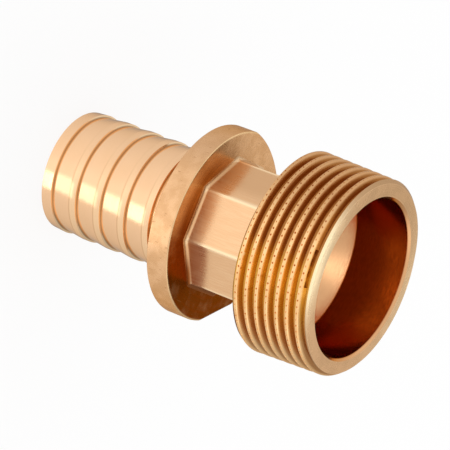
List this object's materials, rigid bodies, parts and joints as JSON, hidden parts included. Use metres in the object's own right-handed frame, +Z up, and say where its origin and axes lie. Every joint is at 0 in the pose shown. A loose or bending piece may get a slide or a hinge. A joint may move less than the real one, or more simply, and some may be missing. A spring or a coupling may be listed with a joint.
{
  "type": "pex male adapter",
  "caption": "Straight pipe adapter in cast red bronze: a toothed stub for plastic pipe, a flange, an eight-sided wrench section and a male taper thread.",
  "frame": {"origin": "middle of the pipe end, on the surface that the fitting stands on", "axes": "+Z up the bore towards the threaded end, +X square to one flat of the wrench section"},
  "size_m": [0.0414, 0.0414, 0.0692],
  "materials": {
    "gunmetal": "satin, cast and turned"
  },
  "bodies": {
    "root": {"adapter_body": "gunmetal"}
  },
  "joints": []
}
